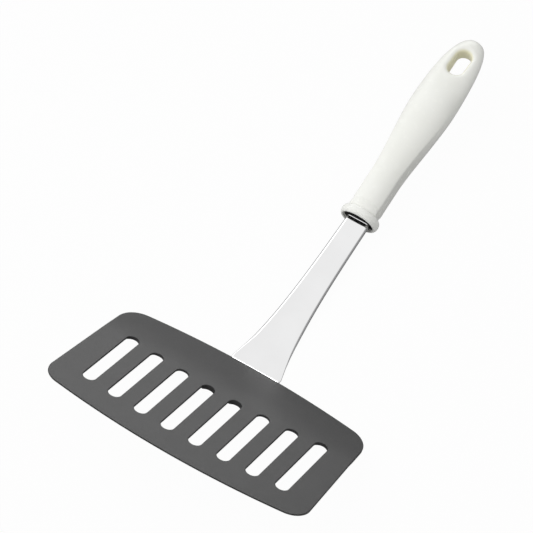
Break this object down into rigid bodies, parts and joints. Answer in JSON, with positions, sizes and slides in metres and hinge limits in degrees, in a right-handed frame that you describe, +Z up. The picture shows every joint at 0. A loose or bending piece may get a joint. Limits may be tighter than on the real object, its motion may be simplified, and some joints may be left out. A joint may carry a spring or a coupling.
{
  "type": "pancake spatula",
  "caption": "Slotted pancake spatula: a wide bowed nylon blade leans up from a flared pressed-steel stem, which runs back into a swelling oval handle with a hang hole.",
  "frame": {"origin": "on the table under the middle of the spatula's bounding box, as it rests on its heel and on the collar of its handle", "axes": "+X across the blade, +Y along the tool from the blade towards the butt of the handle, +Z up from the table"},
  "size_m": [0.15, 0.3088, 0.0486],
  "materials": {
    "nylon": "dark grey heat-proof nylon with a fine semi-matte texture",
    "steel": "pressed stainless sheet with a polished face",
    "dark_plastic": "smooth near-black plastic",
    "ivory_plastic": "smooth glossy ivory-white plastic"
  },
  "bodies": {
    "root": {"blade": "nylon", "stem": "steel", "mouth_plug": "dark_plastic", "handle": "ivory_plastic"}
  },
  "joints": []
}
